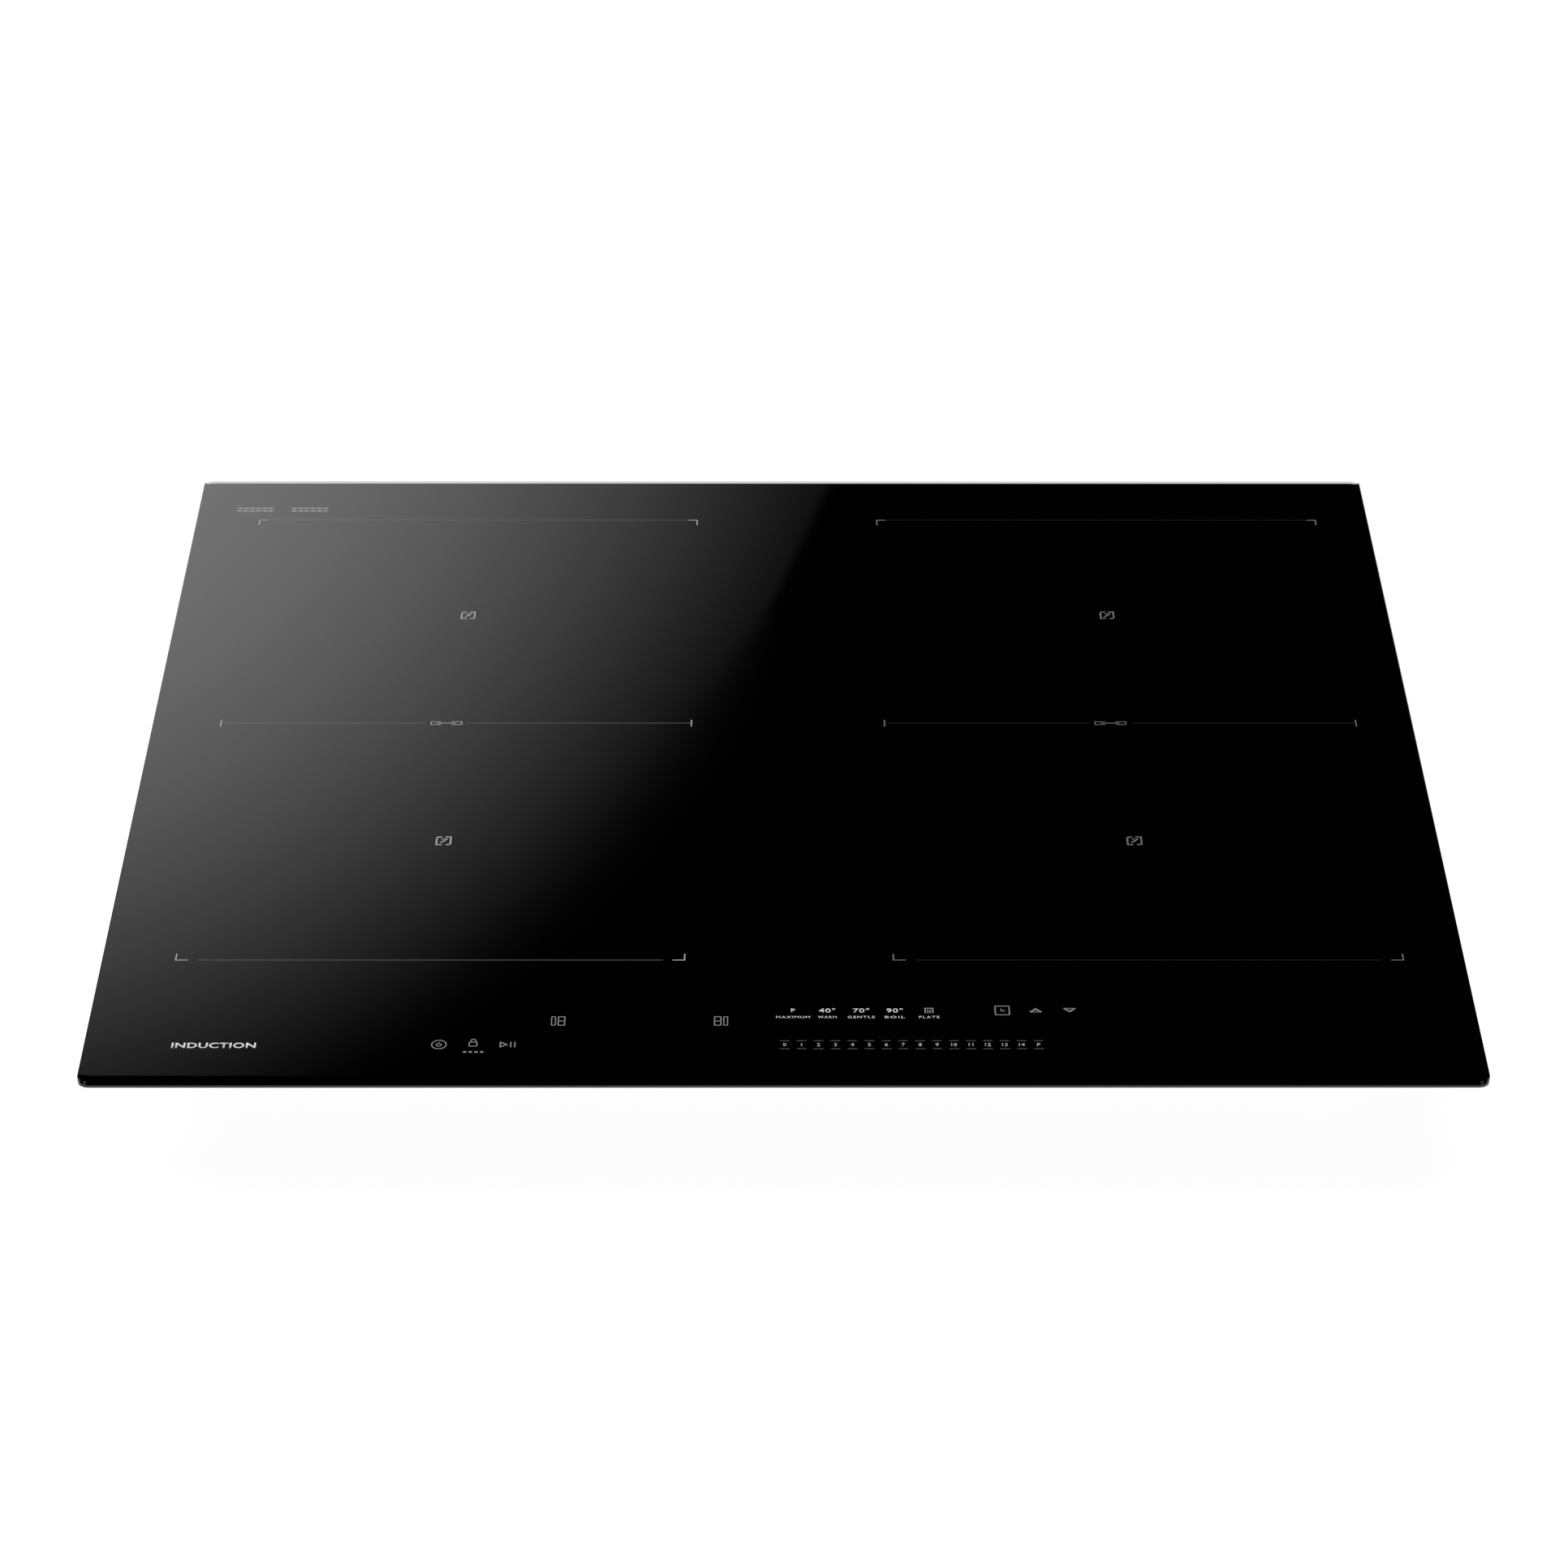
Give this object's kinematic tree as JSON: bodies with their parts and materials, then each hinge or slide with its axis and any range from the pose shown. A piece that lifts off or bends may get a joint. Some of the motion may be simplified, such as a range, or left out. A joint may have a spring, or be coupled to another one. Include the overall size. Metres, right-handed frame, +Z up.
{
  "type": "induction hob",
  "caption": "Built-in electric induction hob: black glass-ceramic top with touch controls over a steel tray with sprung coils, blowers and swing-out worktop clamps.",
  "frame": {"origin": "bottom centre of the bounding box, on the underside of the steel tray", "axes": "+X along the width to the right as seen by the cook, +Y towards the rear, +Z up out of the glass"},
  "size_m": [0.59, 0.52, 0.062],
  "materials": {
    "glass_ceramic": "polished black glass-ceramic with pale grey print",
    "foam_seal": "black closed-cell foam",
    "silicone": "black silicone bead",
    "galvanised_steel": "galvanised sheet, fine spangle",
    "zinc_hardware": "zinc-plated",
    "bare_aluminium": "mill finish",
    "litz_winding": "enamelled copper-coloured litz winding",
    "ferrite": "sintered ferrite, matt",
    "white_plastic": "glass-filled white polyamide",
    "black_plastic": "moulded black plastic",
    "circuit_board": "green solder mask on glass-fibre laminate"
  },
  "bodies": {
    "root": {"adhesive_bead": "silicone", "board_carrier_left": "white_plastic", "board_carrier_right": "white_plastic", "bottom_tray": "galvanised_steel", "cable_inlet": "black_plastic", "case_screw_front_left": "zinc_hardware", "case_screw_front_right": "zinc_hardware", "case_screw_rear_left": "zinc_hardware", "case_screw_rear_right": "zinc_hardware", "clamp_bracket_front_left": "galvanised_steel", "clamp_bracket_front_right": "galvanised_steel", "clamp_bracket_rear_left": "galvanised_steel", "clamp_bracket_rear_right": "galvanised_steel", "control_board": "circuit_board", "control_bracket": "white_plastic", "deck_spring_front_left": "zinc_hardware", "deck_spring_front_right": "zinc_hardware", "deck_spring_rear_left": "zinc_hardware", "deck_spring_rear_right": "zinc_hardware", "fan_housing_left": "black_plastic", "fan_housing_right": "black_plastic", "filter_board": "circuit_board", "glass_frame": "galvanised_steel", "glass_top": "glass_ceramic", "heat_sink_left": "bare_aluminium", "heat_sink_right": "bare_aluminium", "intake_grille_left": "black_plastic", "intake_grille_right": "black_plastic", "power_board_left": "circuit_board", "power_board_right": "circuit_board", "sealing_gasket": "foam_seal", "terminal_block": "white_plastic", "terminal_cover": "black_plastic"},
    "coil_deck": {"coil_deck": "bare_aluminium", "ferrite_star_front_left": "ferrite", "ferrite_star_front_right": "ferrite", "ferrite_star_rear_left": "ferrite", "ferrite_star_rear_right": "ferrite", "coil_former_front_left": "white_plastic", "coil_former_front_right": "white_plastic", "coil_former_rear_left": "white_plastic", "coil_former_rear_right": "white_plastic", "coil_front_left": "litz_winding", "coil_front_right": "litz_winding", "coil_rear_left": "litz_winding", "coil_rear_right": "litz_winding", "zone_sensor_front_left": "white_plastic", "zone_sensor_front_right": "white_plastic", "zone_sensor_rear_left": "white_plastic", "zone_sensor_rear_right": "white_plastic"},
    "fan_rotor_left": {"fan_rotor_left": "black_plastic"},
    "fan_rotor_right": {"fan_rotor_right": "black_plastic"},
    "clamp_screw_front_left": {"clamp_screw_front_left": "zinc_hardware"},
    "clamp_arm_front_left": {"clamp_arm_front_left": "zinc_hardware"},
    "clamp_screw_front_right": {"clamp_screw_front_right": "zinc_hardware"},
    "clamp_arm_front_right": {"clamp_arm_front_right": "zinc_hardware"},
    "clamp_screw_rear_left": {"clamp_screw_rear_left": "zinc_hardware"},
    "clamp_arm_rear_left": {"clamp_arm_rear_left": "zinc_hardware"},
    "clamp_screw_rear_right": {"clamp_screw_rear_right": "zinc_hardware"},
    "clamp_arm_rear_right": {"clamp_arm_rear_right": "zinc_hardware"}
  },
  "joints": [
    {"name": "fan_spin_left", "type": "hinge", "parent": "root", "child": "fan_rotor_left", "pos_m": [-0.155, 0.176, 0.0164], "axis": [0, 0, 1], "continuous": true},
    {"name": "fan_spin_right", "type": "hinge", "parent": "root", "child": "fan_rotor_right", "pos_m": [0.155, 0.176, 0.0164], "axis": [0, 0, 1], "continuous": true},
    {"name": "coil_deck_press", "type": "slide", "parent": "root", "child": "coil_deck", "axis": [0, 0, 1], "range_m": [-0.004, 0], "stiffness_N_per_m": 8000, "springref_m": 0.012, "deforming": ["deck_spring_front_left", "deck_spring_front_right", "deck_spring_rear_left", "deck_spring_rear_right"]},
    {"name": "clamp_lift_front_left", "type": "slide", "parent": "root", "child": "clamp_screw_front_left", "axis": [0, 0, 1], "range_m": [0, 0.012]},
    {"name": "clamp_swing_front_left", "type": "hinge", "parent": "clamp_screw_front_left", "child": "clamp_arm_front_left", "pos_m": [-0.2745, -0.14, 0.0083], "axis": [0, 0, 1], "range_deg": [0, 90]},
    {"name": "clamp_lift_front_right", "type": "slide", "parent": "root", "child": "clamp_screw_front_right", "axis": [0, 0, 1], "range_m": [0, 0.012]},
    {"name": "clamp_swing_front_right", "type": "hinge", "parent": "clamp_screw_front_right", "child": "clamp_arm_front_right", "pos_m": [0.2745, -0.14, 0.0083], "axis": [0, 0, -1], "range_deg": [0, 90]},
    {"name": "clamp_lift_rear_left", "type": "slide", "parent": "root", "child": "clamp_screw_rear_left", "axis": [0, 0, 1], "range_m": [0, 0.012]},
    {"name": "clamp_swing_rear_left", "type": "hinge", "parent": "clamp_screw_rear_left", "child": "clamp_arm_rear_left", "pos_m": [-0.2745, 0.19, 0.0083], "axis": [0, 0, -1], "range_deg": [0, 90]},
    {"name": "clamp_lift_rear_right", "type": "slide", "parent": "root", "child": "clamp_screw_rear_right", "axis": [0, 0, 1], "range_m": [0, 0.012]},
    {"name": "clamp_swing_rear_right", "type": "hinge", "parent": "clamp_screw_rear_right", "child": "clamp_arm_rear_right", "pos_m": [0.2745, 0.19, 0.0083], "axis": [0, 0, 1], "range_deg": [0, 90]}
  ]
}
